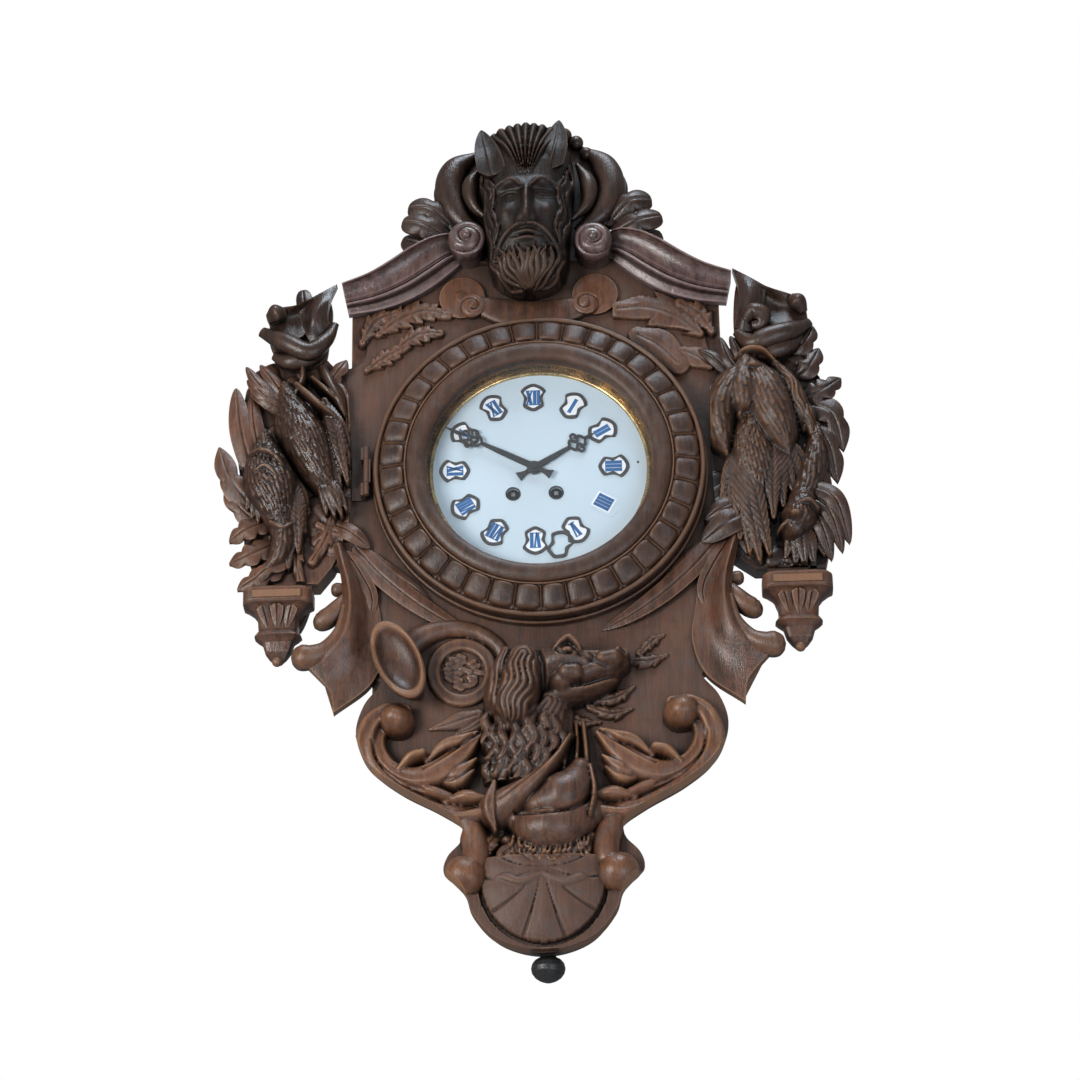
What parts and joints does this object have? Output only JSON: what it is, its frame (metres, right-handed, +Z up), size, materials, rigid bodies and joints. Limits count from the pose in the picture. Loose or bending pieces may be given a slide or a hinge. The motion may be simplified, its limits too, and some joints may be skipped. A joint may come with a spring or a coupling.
{
  "type": "carved wall clock",
  "caption": "Carved dark walnut wall clock with a gadrooned glazed door, pale dial with numeral plaques, bearded mask crest, hanging game, hound and shell foot, and a two-train movement.",
  "frame": {"origin": "on the wall plane, on the axis of the round bezel", "axes": "+Z up, -Y to the front of the clock, +X to the right seen from the front"},
  "size_m": [0.572, 0.1662, 0.836],
  "materials": {
    "walnut": "dark waxed carved walnut",
    "pine": "plain sawn softwood",
    "brass": "aged brass",
    "steel": "plain steel",
    "dark_bronze": "dark patinated metal",
    "ebonised": "black stained wood",
    "white_enamel": "pale glossy enamel",
    "glass": "clear flat glass"
  },
  "bodies": {
    "case": {"back_cover": "pine", "back_plate": "brass", "bottom_knob": "ebonised", "bottom_shell": "walnut", "box_bottom_rail": "pine", "box_left_rail": "pine", "box_right_rail": "pine", "box_top_rail": "pine", "case_board": "walnut", "corbel_left": "walnut", "corbel_right": "walnut", "cornice_left": "walnut", "cornice_right": "walnut", "crest_shell": "walnut", "dial": "white_enamel", "dial_rim": "brass", "front_plate": "brass", "game_bag": "walnut", "gong": "steel", "hanging_plate": "steel", "hinge_case_leaf": "brass", "hound_head": "walnut", "hunting_horn": "walnut", "left_bow": "walnut", "left_leaf_spray": "walnut", "left_lower_bird": "walnut", "left_upper_bird": "walnut", "lower_scroll_left": "walnut", "lower_scroll_right": "walnut", "mask_head": "walnut", "right_bow": "walnut", "right_large_bird": "walnut", "right_leaf_spray": "walnut", "right_small_bird": "walnut", "wing_left": "walnut", "wing_right": "walnut"},
    "door": {"bezel_ring": "walnut", "door_glass": "glass", "glass_ring": "brass", "hinge_door_leaf": "brass"},
    "minute": {"minute_hand": "dark_bronze", "cannon_pinion": "steel"},
    "hour": {"hour_hand": "dark_bronze", "hour_wheel": "brass"},
    "minute_wheel": {"minute_wheel": "brass"},
    "going_barrel": {"going_barrel": "brass"},
    "going_arbor": {"going_arbor": "steel"},
    "strike_barrel": {"strike_barrel": "brass"},
    "strike_arbor": {"strike_arbor": "steel"},
    "second_wheel": {"second_wheel": "brass"},
    "centre_wheel": {"centre_wheel": "brass"},
    "third_wheel": {"third_wheel": "brass"},
    "escape_wheel": {"escape_wheel": "brass"},
    "pendulum": {"anchor": "steel", "pendulum_rod": "steel", "pendulum_bob": "brass"},
    "pin_wheel": {"pin_wheel": "brass"},
    "fly": {"fly": "steel"},
    "hammer": {"hammer": "steel"}
  },
  "joints": [
    {"name": "door_hinge", "type": "hinge", "parent": "case", "child": "door", "pos_m": [-0.157, -0.106, 0], "axis": [0, 0, -1], "range_deg": [0, 85]},
    {"name": "minute_turn", "type": "hinge", "parent": "case", "child": "minute", "pos_m": [-0.005, -0.052, 0.002], "axis": [0, 1, 0], "continuous": true},
    {"name": "hour_turn", "type": "hinge", "parent": "case", "child": "hour", "pos_m": [-0.005, -0.052, 0.002], "axis": [0, 1, 0], "continuous": true},
    {"name": "centre_wheel_turn", "type": "hinge", "parent": "case", "child": "centre_wheel", "pos_m": [-0.005, -0.052, 0.002], "axis": [0, 1, 0], "continuous": true},
    {"name": "minute_wheel_turn", "type": "hinge", "parent": "case", "child": "minute_wheel", "pos_m": [0.01177, -0.052, 0.002], "axis": [0, 1, 0], "continuous": true},
    {"name": "going_barrel_turn", "type": "hinge", "parent": "case", "child": "going_barrel", "pos_m": [0.0145, -0.052, -0.023], "axis": [0, 1, 0], "continuous": true},
    {"name": "going_arbor_turn", "type": "hinge", "parent": "case", "child": "going_arbor", "pos_m": [0.0145, -0.052, -0.023], "axis": [0, 1, 0], "continuous": true},
    {"name": "strike_barrel_turn", "type": "hinge", "parent": "case", "child": "strike_barrel", "pos_m": [-0.0245, -0.052, -0.023], "axis": [0, 1, 0], "continuous": true},
    {"name": "strike_arbor_turn", "type": "hinge", "parent": "case", "child": "strike_arbor", "pos_m": [-0.0245, -0.052, -0.023], "axis": [0, 1, 0], "continuous": true},
    {"name": "second_wheel_turn", "type": "hinge", "parent": "case", "child": "second_wheel", "pos_m": [0.012, -0.052, -0.0022], "axis": [0, 1, 0], "continuous": true},
    {"name": "third_wheel_turn", "type": "hinge", "parent": "case", "child": "third_wheel", "pos_m": [-0.01065, -0.052, 0.0175], "axis": [0, 1, 0], "continuous": true},
    {"name": "escape_wheel_turn", "type": "hinge", "parent": "case", "child": "escape_wheel", "pos_m": [-0.005, -0.052, 0.0315], "axis": [0, 1, 0], "continuous": true},
    {"name": "pin_wheel_turn", "type": "hinge", "parent": "case", "child": "pin_wheel", "pos_m": [-0.03339, -0.052, -0.00398], "axis": [0, 1, 0], "continuous": true},
    {"name": "fly_turn", "type": "hinge", "parent": "case", "child": "fly", "pos_m": [-0.02899, -0.052, 0.0123], "axis": [0, 1, 0], "continuous": true},
    {"name": "pendulum_swing", "type": "hinge", "parent": "case", "child": "pendulum", "pos_m": [-0.005, -0.0218, 0.0475], "axis": [0, 1, 0], "range_deg": [-4, 4]},
    {"name": "hammer_swing", "type": "hinge", "parent": "case", "child": "hammer", "pos_m": [-0.04907, -0.052, -0.012], "axis": [0, 1, 0], "range_deg": [-1, 14]}
  ],
  "couplings": [
    {"joint": "hour_turn", "follows": "minute_turn", "ratio": 0.083333},
    {"joint": "minute_wheel_turn", "follows": "minute_turn", "ratio": -0.33333},
    {"joint": "third_wheel_turn", "follows": "escape_wheel_turn", "ratio": -0.090909},
    {"joint": "centre_wheel_turn", "follows": "escape_wheel_turn", "ratio": 0.0090909},
    {"joint": "second_wheel_turn", "follows": "escape_wheel_turn", "ratio": -0.0015152},
    {"joint": "going_barrel_turn", "follows": "escape_wheel_turn", "ratio": 0.00025253},
    {"joint": "fly_turn", "follows": "pin_wheel_turn", "ratio": -8},
    {"joint": "strike_barrel_turn", "follows": "pin_wheel_turn", "ratio": -0.16667}
  ]
}
